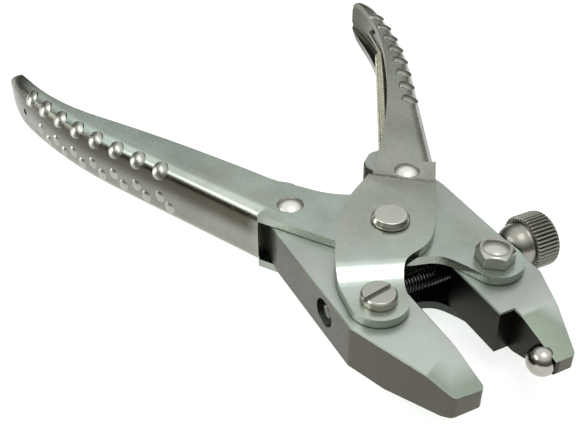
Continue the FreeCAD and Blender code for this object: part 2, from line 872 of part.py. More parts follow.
def spring_stops():
    """Stops of the whole wire in the plan: lead, coil, then a lead bent into the hole."""
    along = turned(180 - spring_slope)
    front = tail_pin_place + along * (tail_pin_radius + tail_pin_gap)
    turn = FreeCAD.Rotation(Vector(0, 0, 1), along)
    lead_end = front + along * (spring_front_lead - lead_bend)
    stops = [(front, along), (lead_end, along)]
    for place, way in coil_stops():
        stops.append((front + turn.multVec(place), turn.multVec(way)))
    coil_end = front + along * (spring_front_lead + coil_pitch * coil_turns + lead_bend)
    hole, outward = wall_place(spring_hole_distance)
    hook_start = hole - outward * hook_end_length
    bend_start = hook_start - outward * hook_bend_radius
    rearward = Vector(-outward.y, outward.x, 0)
    bend_start -= rearward * hook_bend_radius
    run = (bend_start - coil_end).normalize()
    stops += [(coil_end, run), (bend_start, run), (hook_start, outward), (hole, outward)]
    return stops


def return_spring():
    stops = spring_stops()
    edges = []
    straight = (0, len(stops) - 4, len(stops) - 2)
    for index, (before, after) in enumerate(zip(stops[:-1], stops[1:])):
        if index in straight:
            edges.append(Part.LineSegment(before[0], after[0]).toShape())
        else:
            edges += biarc(*before, *after)
    path = Part.Wire(edges)
    ring = Part.Wire([Part.makeCircle(wire_radius, stops[0][0], stops[0][1])])
    tube = path.makePipeShell([ring], True, False)
    print_least_gap(edges)
    print("spring volume", round(tube.Volume, 3),
          "section times length", round(math.pi * wire_radius ** 2 * path.Length, 3))
    return tube


def print_least_gap(edges):
    """Least gap between turns of the wire, measured on points along its path."""
    points = []
    travel = 0
    for edge in edges:
        for point in edge.discretize(7)[:-1]:
            points.append((travel, point))
        travel += edge.Length
    least = min(
        a.distanceToPoint(b)
        for index, (first, a) in enumerate(points)
        for second, b in points[index + 1:index + 80]
        if second - first > math.pi * coil_radius
    )
    print("spring's least gap to itself", round(least - 2 * wire_radius, 3))


def spring_tail_pin():
    return disc(tail_pin_place, tail_pin_radius, -jaw_thickness / 2, jaw_thickness / 2)


def at(shape, place):
    shape.translate(place)
    return shape


def save(name, shape):
    shape.translate(Vector(0, 0, middle_z))
    print(name, "valid" if shape.isValid() else "NOT VALID",
          len(shape.Solids), "solid", round(shape.Volume, 2))
    shape.exportStep("parts/" + name + ".step")


pieces = {
    "left_handle": flat_handle(),
    "right_handle": stepped_handle(),
    "left_jaw": left_jaw(),
    "right_jaw": right_jaw(),
    "centre_pivot_rivet": centre_pivot_rivet(),
    "centre_spacer_sleeve": centre_spacer_sleeve(),
    "left_jaw_screw": at(jaw_screw(), right_arm_joint),
    "left_jaw_nut": at(jaw_nut(), right_arm_joint),
    "left_jaw_bush": at(jaw_bush(), right_arm_joint),
    "right_jaw_screw": at(level_mirror(jaw_screw()), left_arm_joint),
    "right_jaw_nut": at(level_mirror(jaw_nut()), left_arm_joint),
    "right_jaw_bush": at(jaw_bush(), left_arm_joint),
    "left_rear_rivet": at(rear_rivet(), left_rear_joint),
    "right_rear_rivet": at(rear_rivet(), right_rear_joint),
    "return_spring": return_spring(),
    "spring_tail_pin": spring_tail_pin(),
    "thumb_screw_rod": thumb_screw_rod(),
    "thumb_screw_head": thumb_screw_head(),
    "forming_ball": forming_ball(),
    "ball_stud": stud(),
}
for name, shape in pieces.items():
    save(name, shape)
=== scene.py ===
import math

import bmesh
import bpy
from mathutils import Matrix, Vector


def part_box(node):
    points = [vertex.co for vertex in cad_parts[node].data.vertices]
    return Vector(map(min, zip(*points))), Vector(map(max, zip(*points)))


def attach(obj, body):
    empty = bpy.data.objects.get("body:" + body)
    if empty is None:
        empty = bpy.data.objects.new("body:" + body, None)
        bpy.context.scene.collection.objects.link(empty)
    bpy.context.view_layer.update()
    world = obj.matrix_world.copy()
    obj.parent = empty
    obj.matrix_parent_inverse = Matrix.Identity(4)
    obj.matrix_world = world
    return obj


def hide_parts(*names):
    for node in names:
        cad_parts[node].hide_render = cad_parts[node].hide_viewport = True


# Parallel-action pliers for repairing wind instruments, lying open on a pale floor.
# Metres. X runs to the noses, +Y to the right jaw, Z up through the pivots.

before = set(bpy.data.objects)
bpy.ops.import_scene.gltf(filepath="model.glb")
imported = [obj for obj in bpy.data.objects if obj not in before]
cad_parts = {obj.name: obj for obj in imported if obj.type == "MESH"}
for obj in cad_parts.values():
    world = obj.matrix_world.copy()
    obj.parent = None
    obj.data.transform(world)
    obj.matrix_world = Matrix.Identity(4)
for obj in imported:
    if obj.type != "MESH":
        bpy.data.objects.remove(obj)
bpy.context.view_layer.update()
MM = 0.001
MIDDLE_LEVEL = 10.7 * MM


# Modelling helpers

def new_piece(name, bm, body, finish, nodes=(), smooth_angle=30):
    """Turn a bmesh into a finished piece that rides on a body and stands for CAD nodes."""
    bmesh.ops.recalc_face_normals(bm, faces=bm.faces)
    for face in bm.faces:
        face.smooth = True
    for edge in bm.edges:
        turn = edge.calc_face_angle(0)
        edge.smooth = turn < math.radians(smooth_angle)
    mesh = bpy.data.meshes.new(name)
    bm.to_mesh(mesh)
    bm.free()
    piece = bpy.data.objects.new(name, mesh)
    bpy.context.scene.collection.objects.link(piece)
    mesh.materials.append(finish)
    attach(piece, body)
    if nodes:
        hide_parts(*nodes)
    return piece


def solid_copy(node):
    """A merged copy of a CAD node's mesh, its flat faces joined up."""
    bm = bmesh.new()
    bm.from_mesh(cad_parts[node].data)
    bmesh.ops.remove_doubles(bm, verts=bm.verts, dist=0.0005 * MM)
    bmesh.ops.dissolve_limit(bm, angle_limit=math.radians(0.3), verts=bm.verts, edges=bm.edges)
    return bm


def broken_edges(piece, width, angle=32):
    """A small rounding along the piece's sharp edges, which catches the light."""
    bevel = piece.modifiers.new("broken_edges", "BEVEL")
    bevel.width = width
    bevel.segments = 2
    bevel.limit_method = "ANGLE"
    bevel.angle_limit = math.radians(angle)
    bevel.harden_normals = True
    return piece


def mark_dome_highlights(bm, sharpest=15.5, widest=5 * MM, front=-35 * MM):
    """Mark the grips' pressed domes, the small patches that sharper edges part from the sheet, where a
    highlight is painted.
    """
    dome_highlight = bm.loops.layers.float.new("dome_highlight")
    seen = set()
    for first in bm.faces:
        patch = [] if first in seen else [first]
        seen.update(patch)
        for face in patch:
            for edge in face.edges:
                if edge.calc_face_angle(0) < math.radians(sharpest):
                    fresh = [other for other in edge.link_faces if other not in seen]
                    seen.update(fresh)
                    patch.extend(fresh)
        corners = [vert.co for face in patch for vert in face.verts]
        reach = [max(place[axis] for place in corners) - min(place[axis] for place in corners)
                 for axis in range(3)] if corners else [widest]
        if max(reach) < widest and max(place.x for place in corners) < front:
            for face in patch:
                for corner in face.loops:
                    corner[dome_highlight] = 1.0
    return bm


def slim_tip(bm, start=-96 * MM, end=-108.6 * MM, share=0.3, cuts=12):
    """Slim a handle's last stretch towards its middle level, ever more to the tip."""
    for step in range(cuts):
        x = start + (end - start) * step / cuts
        bmesh.ops.bisect_plane(bm, geom=bm.verts[:] + bm.edges[:] + bm.faces[:], dist=0.001 * MM,
                               plane_co=(x, 0, 0), plane_no=(1, 0, 0))
    for vert in bm.verts:
        along = max(0.0, (vert.co.x - start) / (end - start))
        vert.co.z = MIDDLE_LEVEL + (vert.co.z - MIDDLE_LEVEL) * (1 - share * along ** 2)
    return bm


# Node helpers

def add_node(tree, kind, inputs=None, **settings):
    """One shader node with its settings, its inputs linked or given values."""
    node = tree.nodes.new(kind)
    for name, value in settings.items():
        setattr(node, name, value)
    for name, value in (inputs or {}).items():
        if isinstance(value, bpy.types.NodeSocket):
            tree.links.new(value, node.inputs[name])
        else:
            node.inputs[name].default_value = value
    return node


def new_group(name, inputs, outputs):
    """An empty node group with named value inputs and outputs."""
    tree = bpy.data.node_groups.new(name, "ShaderNodeTree")
    for socket_name, value in inputs.items():
        socket = tree.interface.new_socket(name=socket_name, in_out="INPUT",
                                           socket_type="NodeSocketFloat")
        socket.default_value = value
    for socket_name in outputs:
        tree.interface.new_socket(name=socket_name, in_out="OUTPUT", socket_type="NodeSocketFloat")
    return tree, tree.nodes.new("NodeGroupInput").outputs, tree.nodes.new("NodeGroupOutput").inputs


def rolled_lines_group():
    """Fine lines left by rolling or grinding, drawn out along one plan direction."""
    tree, given, result = new_group("rolled_lines", {"Turn": 0.0, "Across": 4000.0, "Along": 120.0},
                                    ["Height"])
    place = add_node(tree, "ShaderNodeTexCoord").outputs["Object"]
    turned = add_node(tree, "ShaderNodeVectorRotate", {"Vector": place, "Angle": given["Turn"]},
                      rotation_type="Z_AXIS").outputs["Vector"]
    stretch = add_node(tree, "ShaderNodeCombineXYZ",
                       {"X": given["Along"], "Y": given["Across"], "Z": given["Across"]}).outputs["Vector"]
    drawn = add_node(tree, "ShaderNodeVectorMath", {0: turned, 1: stretch},
                     operation="MULTIPLY").outputs["Vector"]
    lines = add_node(tree, "ShaderNodeTexNoise",
                     {"Vector": drawn, "Scale": 1.0, "Detail": 3.0, "Roughness": 0.6})
    tree.links.new(lines.outputs["Fac"], result["Height"])
    return tree


def clouds_group():
    """Slow changes of tone in plating, from 0 to 1."""
    tree, given, result = new_group("clouds", {"Scale": 60.0, "Contrast": 2.0}, ["Tone"])
    place = add_node(tree, "ShaderNodeTexCoord").outputs["Object"]
    noise = add_node(tree, "ShaderNodeTexNoise", {"Vector": place, "Scale": given["Scale"], "Detail": 5.0,
                                                  "Roughness": 0.55}).outputs["Fac"]
    centred = add_node(tree, "ShaderNodeMath", {0: noise, 1: 0.5}, operation="SUBTRACT").outputs["Value"]
    spread = add_node(tree, "ShaderNodeMath", {0: centred, 1: given["Contrast"], 2: 0.5},
                      operation="MULTIPLY_ADD", use_clamp=True).outputs["Value"]
    tree.links.new(spread, result["Tone"])
    return tree


def specks_group():
    """Small pits and dull specks, 1 on a speck, with a soft rim."""
    tree, given, result = new_group("specks", {"Scale": 1600.0, "Start": 0.62}, ["Mask"])
    place = add_node(tree, "ShaderNodeTexCoord").outputs["Object"]
    noise = add_node(tree, "ShaderNodeTexNoise", {"Vector": place, "Scale": given["Scale"], "Detail": 2.0,
                                                  "Roughness": 0.5}).outputs["Fac"]
    end = add_node(tree, "ShaderNodeMath", {0: given["Start"], 1: 0.08}, operation="ADD").outputs["Value"]
    mask = add_node(tree, "ShaderNodeMapRange",
                    {"Value": noise, "From Min": given["Start"], "From Max": end})
    tree.links.new(mask.outputs["Result"], result["Mask"])
    return tree


def fade_group():
    """0 to 1 along a direction, between two distances measured on the object."""
    tree, given, result = new_group("fade", {"X": 0.0, "Y": 0.0, "Z": 0.0, "Start": 0.0, "End": 1.0},
                                    ["Mask"])
    place = add_node(tree, "ShaderNodeTexCoord").outputs["Object"]
    way = add_node(tree, "ShaderNodeCombineXYZ", {axis: given[axis] for axis in "XYZ"}).outputs["Vector"]
    distance = add_node(tree, "ShaderNodeVectorMath", {0: place, 1: way},
                        operation="DOT_PRODUCT").outputs["Value"]
    mask = add_node(tree, "ShaderNodeMapRange", {"Value": distance, "From Min": given["Start"],
                                                 "From Max": given["End"]}, interpolation_type="SMOOTHSTEP")
    tree.links.new(mask.outputs["Result"], result["Mask"])
    return tree


def inner_floor_group():
    """1 on low faces that look up: the far inside of the folded handles, where shade is painted."""
    tree, given, result = new_group("inner_floor", {"Start": 9 * MM, "End": 6 * MM}, ["Mask"])
    place = add_node(tree, "ShaderNodeTexCoord").outputs["Object"]
    height = add_node(tree, "ShaderNodeSeparateXYZ", {"Vector": place}).outputs["Z"]
    low = add_node(tree, "ShaderNodeMapRange", {"Value": height, "From Min": given["Start"],
                                                "From Max": given["End"]}).outputs["Result"]
    normal = add_node(tree, "ShaderNodeNewGeometry").outputs["Normal"]
    lift = add_node(tree, "ShaderNodeSeparateXYZ", {"Vector": normal}).outputs["Z"]
    upward = add_node(tree, "ShaderNodeMath", {0: lift, 1: 0.5},
                      operation="GREATER_THAN").outputs["Value"]
    both = add_node(tree, "ShaderNodeMath", {0: low, 1: upward},
                    operation="MULTIPLY").outputs["Value"]
    tree.links.new(both, result["Mask"])
    return tree


def dome_highlight_group():
    """1 on the grips' pressed domes, where a bright highlight is painted."""
    tree, given, result = new_group("dome_highlight", {}, ["Mask"])
    mark = add_node(tree, "ShaderNodeAttribute", attribute_name="dome_highlight").outputs["Fac"]
    tree.links.new(mark, result["Mask"])
    return tree


def level_faces_group():
    """1 on faces that look up or down, 0 on faces that lean from there by enough."""
    tree, given, result = new_group("level_faces", {"Start": 0.55, "End": 0.9}, ["Mask"])
    normal = add_node(tree, "ShaderNodeNewGeometry").outputs["Normal"]
    height = add_node(tree, "ShaderNodeSeparateXYZ", {"Vector": normal}).outputs["Z"]
    lie = add_node(tree, "ShaderNodeMath", {0: height}, operation="ABSOLUTE").outputs["Value"]
    mask = add_node(tree, "ShaderNodeMapRange",
                    {"Value": lie, "From Min": given["Start"], "From Max": given["End"]})
    tree.links.new(mask.outputs["Result"], result["Mask"])
    return tree


def contact_shade_group():
    """Painted shade that darkens corners and places round other pieces."""
    tree, given, result = new_group("contact_shade", {"Reach": 0.5 * MM, "Amount": 0.8}, ["Mask"])
    hollow = add_node(tree, "ShaderNodeAmbientOcclusion", {"Distance": given["Reach"]},
                      samples=8).outputs["AO"]
    inverse = add_node(tree, "ShaderNodeMath", {0: 1.0, 1: hollow}, operation="SUBTRACT").outputs["Value"]
    scaled = add_node(tree, "ShaderNodeMath", {0: inverse, 1: given["Amount"]}, operation="MULTIPLY",
                      use_clamp=True).outputs["Value"]
    tree.links.new(scaled, result["Mask"])
    return tree


groups = {
    "rolled_lines": rolled_lines_group(),
    "clouds": clouds_group(),
    "specks": specks_group(),
    "fade": fade_group(),
    "dome_highlight": dome_highlight_group(),
    "inner_floor": inner_floor_group(),
    "level_faces": level_faces_group(),
    "contact_shade": contact_shade_group(),
}


def use_group(tree, name, **values):
    """Place a shared group with its values, and give its one output."""
    node = tree.nodes.new("ShaderNodeGroup")
    node.node_tree = groups[name]
    for socket, value in values.items():
        node.inputs[socket].default_value = value
    return node.outputs[0]


def mixed(tree, mask, colour, other):
    """One colour, and the other where a mask is 1; either may be a socket."""
    inputs = {0: mask}
    for socket, given in ((6, colour), (7, other)):
        inputs[socket] = given if isinstance(given, bpy.types.NodeSocket) else (*given, 1)
    return add_node(tree, "ShaderNodeMix", inputs, data_type="RGBA").outputs[2]


def metal(name, level_colour, upright_shade_colour, roughness, roughness_spread=0.08, turn=0.0, line_depth=0.0,
          line_across=4000.0, line_along=120.0, tone=0.12, cloud_scale=60.0, speck_depth=0.0,
          speck_scale=1600.0, contact_shade=0.8, contact_shade_reach=0.5 * MM, facet_shade_colour=None, smudge_colour=None,
          dome_highlight_colour=None, inner_floor_shade_colour=None, painted_upright_fades=(), level_fades=(), fades=()):
    """A satin metal, lined, clouded and specked: one colour on level faces and a darker one on upright
    ones, which is painted shade for the dark surroundings upright faces reflect.
    """
    material = bpy.data.materials.new(name)
    material.use_nodes = True
    tree = material.node_tree
    shader = tree.nodes["Principled BSDF"]
    shader.inputs["Metallic"].default_value = 1.0

    upright = upright_shade_colour
    # Painted light laid over the upright faces' colour: painted shade bands and a painted sheen.
    for colour, fade in painted_upright_fades:
        upright = mixed(tree, use_group(tree, "fade", **fade), upright, colour)
    flat = level_colour
    for colour, fade in level_fades:
        flat = mixed(tree, use_group(tree, "fade", **fade), flat, colour)
    if smudge_colour:
        smudges = use_group(tree, "clouds", Scale=SMUDGE_SCALE, Contrast=SMUDGE_CONTRAST)
        flat = mixed(tree, smudges, flat, smudge_colour)
    # Painted shade: low upward faces inside the handles go dark olive.
    if inner_floor_shade_colour:
        flat = mixed(tree, use_group(tree, "inner_floor"), flat, inner_floor_shade_colour)
    # Painted shade: slightly tilted faces, the nose facets, take a darker green colour.
    if facet_shade_colour:
        level = use_group(tree, "level_faces", Start=FACET_END, End=FACET_START)
        flat = mixed(tree, level, facet_shade_colour, flat)
    # Painted shade: upright faces take the darker upright colour, level faces the level one.
    base = mixed(tree, use_group(tree, "level_faces"), upright, flat)
    for colour, fade in fades:
        base = mixed(tree, use_group(tree, "fade", **fade), base, colour)
    # Painted highlight: the grips' pressed domes take a bright colour.
    if dome_highlight_colour:
        base = mixed(tree, use_group(tree, "dome_highlight"), base, dome_highlight_colour)
    clouds = use_group(tree, "clouds", Scale=cloud_scale)
    shade = add_node(tree, "ShaderNodeMapRange",
                     {"Value": clouds, "To Min": 1 - tone, "To Max": 1 + tone}).outputs["Result"]
    clouded = add_node(tree, "ShaderNodeVectorMath", {0: base, "Scale": shade},
                       operation="SCALE").outputs["Vector"]
    # Painted shade: corners and places near other pieces darken towards near black.
    contact_shade_mask = use_group(tree, "contact_shade", Amount=contact_shade, Reach=contact_shade_reach)
    tree.links.new(mixed(tree, contact_shade_mask, clouded, CONTACT_SHADE_COLOUR), shader.inputs["Base Color"])

    lines = use_group(tree, "rolled_lines", Turn=turn, Across=line_across, Along=line_along)
    specks = use_group(tree, "specks", Scale=speck_scale)
    rough = add_node(tree, "ShaderNodeMapRange", {"Value": lines, "To Min": roughness - roughness_spread,
                                                  "To Max": roughness + roughness_spread}).outputs["Result"]
    dulled = add_node(tree, "ShaderNodeMath", {0: specks, 1: SPECK_DULLNESS, 2: rough},
                      operation="MULTIPLY_ADD").outputs["Value"]
    tree.links.new(dulled, shader.inputs["Roughness"])

    height = add_node(tree, "ShaderNodeMath", {0: lines, 1: line_depth},
                      operation="MULTIPLY").outputs["Value"]
    pitted = add_node(tree, "ShaderNodeMath", {0: specks, 1: -speck_depth, 2: height},
                      operation="MULTIPLY_ADD").outputs["Value"]
    bump = add_node(tree, "ShaderNodeBump", {"Height": pitted, "Distance": 1.0, "Strength": 1.0})
    tree.links.new(bump.outputs["Normal"], shader.inputs["Normal"])
    return material


# Finishes

BLUE_GREEN = (0.66, 0.77, 0.71)
WARM_GREY = (0.72, 0.74, 0.67)
JAW_GREY = (0.60, 0.66, 0.61)
SMUDGE = (0.56, 0.61, 0.53)
# Painted shade: darker colours for upright sides, standing for the dark reflections they show.
SIDE_SHADE_GREY = (0.24, 0.244, 0.213)
SIDE_SHADE_BROWN = (0.088, 0.084, 0.068)
UNDER_BEND_SHADE = (0.07, 0.066, 0.048)
# Painted shade colour for the handles' low inner faces.
INNER_FLOOR_SHADE = (0.10, 0.125, 0.095)
TIP_SHADE_OLIVE = (0.11, 0.113, 0.083)
INNER_SHADE_BLACK = (0.022, 0.02, 0.016)
# Painted highlight colour for the grips' pressed domes.
DOME_HIGHLIGHT_GREY = (0.37, 0.385, 0.335)
CHEEK_SHEEN_GREY = (0.33, 0.365, 0.31)
LOWER_SHADE_GREY = (0.06, 0.066, 0.06)
# Painted shade colour for the tilted nose facets.
FACET_SHADE_GREEN = (0.36, 0.43, 0.35)
# Painted shade colour for corners and contacts.
CONTACT_SHADE_COLOUR = (0.012, 0.011, 0.009)
GRIP_SLOPE = math.radians(25.9)
SPECK_DULLNESS = 0.2
SMUDGE_SCALE = 45.0
SMUDGE_CONTRAST = 3.2
FACET_START = 0.992
FACET_END = 0.983

# Painted shade: upright faces darken upwards towards the bend.
bend_shade = (UNDER_BEND_SHADE, {"Z": 1.0, "Start": 9.5 * MM, "End": 14.0 * MM})
# Painted shade: the handles darken towards their tips.
tip_shade = (TIP_SHADE_OLIVE, {"X": -1.0, "Start": 86 * MM, "End": 106 * MM})
# Painted shade: the right jaw's upright faces go near black on its inner side.
inner_side_shade = (INNER_SHADE_BLACK, {"Y": -1.0, "Start": -10.6 * MM, "End": -10.0 * MM})
towards_nose = (BLUE_GREEN, {"X": 1.0, "Start": -4 * MM, "End": 12 * MM})
# Painted sheen: upright cheek edges towards the mouth take a lighter colour, for the light they catch.
cheek_edge_sheen = (CHEEK_SHEEN_GREY, {"X": 1.0, "Start": -20 * MM, "End": -14 * MM})
# Painted shade: low upright faces towards the mouth go dark.
lower_edge_shade = (LOWER_SHADE_GREY, {"X": 0.4, "Z": -1.0, "Start": -7.5 * MM, "End": -5 * MM})
sheet_finish = {"line_depth": 0.0005 * MM, "tone": 0.2, "speck_depth": 0.001 * MM, "smudge_colour": SMUDGE,
                "dome_highlight_colour": DOME_HIGHLIGHT_GREY, "inner_floor_shade_colour": INNER_FLOOR_SHADE, "contact_shade": 0.45,
                "painted_upright_fades": [bend_shade, cheek_edge_sheen, lower_edge_shade], "level_fades": [towards_nose],
                "fades": [tip_shade]}
plated_sheet_left = metal("plated_sheet_left", BLUE_GREEN, SIDE_SHADE_GREY, 0.27, turn=-GRIP_SLOPE,
                          **sheet_finish)
plated_sheet_right = metal("plated_sheet_right", WARM_GREY, SIDE_SHADE_GREY, 0.27, turn=GRIP_SLOPE,
                           **sheet_finish)
jaw_finish = {"line_depth": 0.002 * MM, "speck_depth": 0.005 * MM, "facet_shade_colour": FACET_SHADE_GREEN}
plated_jaw_left = metal("plated_jaw_left", JAW_GREY, SIDE_SHADE_BROWN, 0.34, **jaw_finish)
plated_jaw_right = metal("plated_jaw_right", JAW_GREY, SIDE_SHADE_BROWN, 0.34, painted_upright_fades=[inner_side_shade],
                         **jaw_finish)
# In each finish below, the second colour is painted shade on the upright faces.
bright_rivet = metal("bright_rivet", (0.86, 0.87, 0.78), (0.40, 0.40, 0.34), 0.26,
                     speck_depth=0.003 * MM)
bright_screw = metal("bright_screw", (0.62, 0.63, 0.57), (0.36, 0.355, 0.305), 0.24,
                     speck_depth=0.003 * MM)
turned_steel = metal("turned_steel", (0.35, 0.34, 0.31), (0.25, 0.24, 0.22), 0.3)
spring_wire = metal("spring_wire", (0.66, 0.63, 0.50), (0.50, 0.475, 0.37), 0.22, contact_shade=1.9)
black_thread = metal("black_thread", (0.16, 0.16, 0.155), (0.11, 0.11, 0.105), 0.2, contact_shade=1.0,
                     contact_shade_reach=0.35 * MM)
knurled_steel = metal("knurled_steel", (0.36, 0.355, 0.31), (0.30, 0.295, 0.255), 0.3, contact_shade=0.95,
                      contact_shade_reach=0.4 * MM)
polished_ball = metal("polished_ball", (0.50, 0.49, 0.45), (0.36, 0.35, 0.31), 0.19,
                      speck_depth=0.002 * MM)


# CAD shapes that keep their form and get finer edges and a finish

dressed = {
    "left_handle": ("left_handle", "plated_sheet", plated_sheet_left, 0.35 * MM),
    "right_handle": ("right_handle", "plated_sheet", plated_sheet_right, 0.35 * MM),
    "left_jaw": ("left_jaw", "plated_jaw", plated_jaw_left, 0.12 * MM),
    "right_jaw": ("right_jaw", "plated_jaw", plated_jaw_right, 0.12 * MM),
    "centre_pivot_rivet": ("left_handle", "bright_rivet", bright_rivet, 0.15 * MM),
    "left_rear_rivet": ("left_handle", "bright_rivet", bright_rivet, 0.1 * MM),
    "right_rear_rivet": ("right_handle", "bright_rivet", bright_rivet, 0.1 * MM),
    "left_jaw_screw": ("right_handle", "bright_screw", bright_screw, 0.1 * MM),
    "right_jaw_screw": ("left_handle", "bright_screw", bright_screw, 0.1 * MM),
    "left_jaw_nut": ("right_handle", "bright_screw", bright_screw, 0.12 * MM),
    "right_jaw_nut": ("left_handle", "bright_screw", bright_screw, 0.12 * MM),
}
for node, (body, slot, finish, width) in dressed.items():
    bm = solid_copy(node)
    if slot == "plated_sheet":
        mark_dome_highlights(bm)
        slim_tip(bm)
    broken_edges(new_piece(node + "_shape", bm, body, finish, [node]), width)

for node in ("centre_spacer_sleeve", "left_jaw_bush", "right_jaw_bush", "ball_stud", "spring_tail_pin"):
    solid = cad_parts[node]
    solid.data.materials.clear()
    solid.data.materials.append(turned_steel)


# Turned and wound pieces, finer than their CAD solids

def turned_form(bm, axis_place, stations, segments, radius_at=None):
    """A surface turned round a line along Y through (radius, y) stations, closed at its ends."""
    rings = []
    for radius, y in stations:
        ring = []
        for step in range(segments):
            angle = math.tau * step / segments
            reach = radius_at(radius, angle) if radius_at else radius
            ring.append(bm.verts.new((axis_place.x + reach * math.cos(angle), y,
                                      axis_place.z + reach * math.sin(angle))))
        rings.append(ring)
    for lower, upper in zip(rings, rings[1:]):
        for step in range(segments):
            after = (step + 1) % segments
            bm.faces.new((lower[step], lower[after], upper[after], upper[step]))
    bm.faces.new(rings[0])
    bm.faces.new(rings[-1])


def threaded_rod():
    """M4 rod: a core at the thread's root and one ridge wound round it."""
    low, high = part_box("thumb_screw_rod")
    axis_place = (low + high) / 2
    major = (high.x - low.x) / 2
    pitch = 0.7 * MM
    depth = 0.43 * MM
    minor = major - depth
    sunk = 0.02 * MM
    chamfer = 0.3 * MM
    steps = 40
    end_gap = 0.8
    bm = bmesh.new()
    turned_form(bm, axis_place, [(minor - chamfer, low.y), (minor, low.y + chamfer),
                                 (minor, high.y - chamfer), (minor - chamfer, high.y)], steps)
    total = int((high.y - low.y - pitch * end_gap * 2) / pitch * steps)
    # The ridge's section: (share of the pitch along the rod, share of the depth)
    section = ((-0.47, 0.0), (-0.09, 1.0), (0.09, 1.0), (0.47, 0.0))
    before = None
    for index in range(total + 1):
        angle = math.tau * index / steps
        grow = min(1.0, index / steps * 2, (total - index) / steps * 2)
        y = low.y + pitch * (end_gap + index / steps)
        row = []
        for along, rise in section:
            reach = minor - sunk + (depth + sunk) * rise * grow
            row.append(bm.verts.new((axis_place.x + reach * math.cos(angle), y + pitch * along,
                                     axis_place.z + reach * math.sin(angle))))
        if before:
            for side in range(3):
                bm.faces.new((before[side], before[side + 1], row[side + 1], row[side]))
        before = row
    return bm


def knurled_knob():
    """Ball-shaped neck, then a knob with straight ribs and rounded rims."""
    low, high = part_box("thumb_screw_head")
    axis_place = (low + high) / 2
    barrel = (high.x - low.x) / 2
    ribs = 44
    depth = 0.5 * MM
    rim = 0.6 * MM
    groove_sharpness = 1.6
    neck = 4.9 * MM
    length = 6.0 * MM
    rear = high.y - length
    neck_middle = rear - 0.5 * MM
    neck_from, neck_to, neck_steps = 27, 84, 20
    stations = [(1.9 * MM, low.y + 1.2 * MM), (2.1 * MM, low.y + 0.55 * MM)]
    for step in range(neck_steps + 1):
        angle = math.radians(neck_from + (neck_to - neck_from) * step / neck_steps)
        stations.append((neck * math.sin(angle), neck_middle - neck * math.cos(angle)))
    stations += [(4.78 * MM, rear + 0.15 * MM), (4.86 * MM, rear + 0.22 * MM), (5.0 * MM, rear + 0.2 * MM),
                 (5.3 * MM, rear),
                 (barrel - 0.35 * MM, rear + 0.05 * MM), (barrel - 0.12 * MM, rear + 0.2 * MM),
                 (barrel, rear + 0.45 * MM), (barrel, rear + 0.8 * MM), (barrel, high.y - 1.1 * MM),
                 (barrel - 0.04 * MM, high.y - 0.8 * MM), (barrel - 0.2 * MM, high.y - 0.45 * MM),
                 (barrel - 0.5 * MM, high.y - 0.15 * MM), (barrel - 0.9 * MM, high.y - 0.02 * MM),
                 (barrel - 1.2 * MM, high.y), (barrel - 1.4 * MM, high.y - 0.08 * MM),
                 (1.0 * MM, high.y - 0.08 * MM)]

    def ribbed(radius, angle):
        if radius < barrel - rim:
            return radius
        reach = min(1.0, (radius - barrel + rim) / (0.5 * MM))
        groove = (0.5 + 0.5 * math.cos(ribs * angle)) ** groove_sharpness
        return radius - depth * reach * groove

    bm = bmesh.new()
    turned_form(bm, axis_place, stations, ribs * 8, ribbed)
    return bm


def ball():
    low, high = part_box("forming_ball")
    bm = bmesh.new()
    bmesh.ops.create_uvsphere(bm, u_segments=64, v_segments=40, radius=(high.z - low.z) / 2,
                              matrix=Matrix.Translation((low + high) / 2))
    return bm


WIRE_RADIUS = 0.5 * MM


def spring_path():
    """Middle line of the spring's wire: hook lead, close coil, lead and hook into the wall."""
    low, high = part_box("return_spring")
    level = (low.z + high.z) / 2
    heading = math.radians(150.23)
    along = Vector((math.cos(heading), math.sin(heading), 0))
    across = Vector((-along.y, along.x, 0))
    up = Vector((0, 0, 1))
    front = Vector((-28.25 * MM, 16.98 * MM, level))
    lead = 5.0 * MM
    swell = 2.6 * MM
    coil_end = 58.6 * MM
    turns = 46
    radius = 1.4 * MM
    steps = turns * 20
    hook_tail = 1.7 * MM
    points = [front, front + along * lead * 0.6]
    for step in range(steps + 1):
        share = step / steps
        distance = lead + (coil_end - lead + swell) * share
        reach = radius * min(1.0, (distance - lead) / swell, (coil_end + swell - distance) / swell)
        angle = math.tau * turns * share
        points.append(front + along * distance
                      + across * (reach * math.cos(angle)) + up * (reach * math.sin(angle)))
    bend_start = Vector((-93.81 * MM, 50.99 * MM, level))
    points.append(bend_start)
    outward = Vector((0.174, 0.985, 0))
    rearward = Vector((-0.985, 0.174, 0))
    bend = 1.4 * MM
    for step in range(1, 7):
        angle = math.radians(15 * step)
        points.append(bend_start + rearward * (bend * math.sin(angle))
                      + outward * (bend * (1 - math.cos(angle))))
    points.append(points[-1] + outward * hook_tail)
    return points


def wire(points, radius, sides=10):
    """A round tube along a line of points, its section carried along without twist."""
    bm = bmesh.new()
    way = (points[1] - points[0]).normalized()
    side = way.orthogonal().normalized()
    rings = []
    for index, point in enumerate(points):
        after = points[min(index + 1, len(points) - 1)]
        before = points[max(index - 1, 0)]
        way = (after - before).normalized()
        side = (side - way * side.dot(way)).normalized()
        other = way.cross(side)
        ring = []
        for step in range(sides):
            angle = math.tau * step / sides
            ring.append(bm.verts.new(point + (side * math.cos(angle) + other * math.sin(angle)) * radius))
        rings.append(ring)
    for lower, upper in zip(rings, rings[1:]):
        for step in range(sides):
            after = (step + 1) % sides
            bm.faces.new((lower[step], lower[after], upper[after], upper[step]))
    bm.faces.new(rings[0])
    bm.faces.new(rings[-1])
    return bm


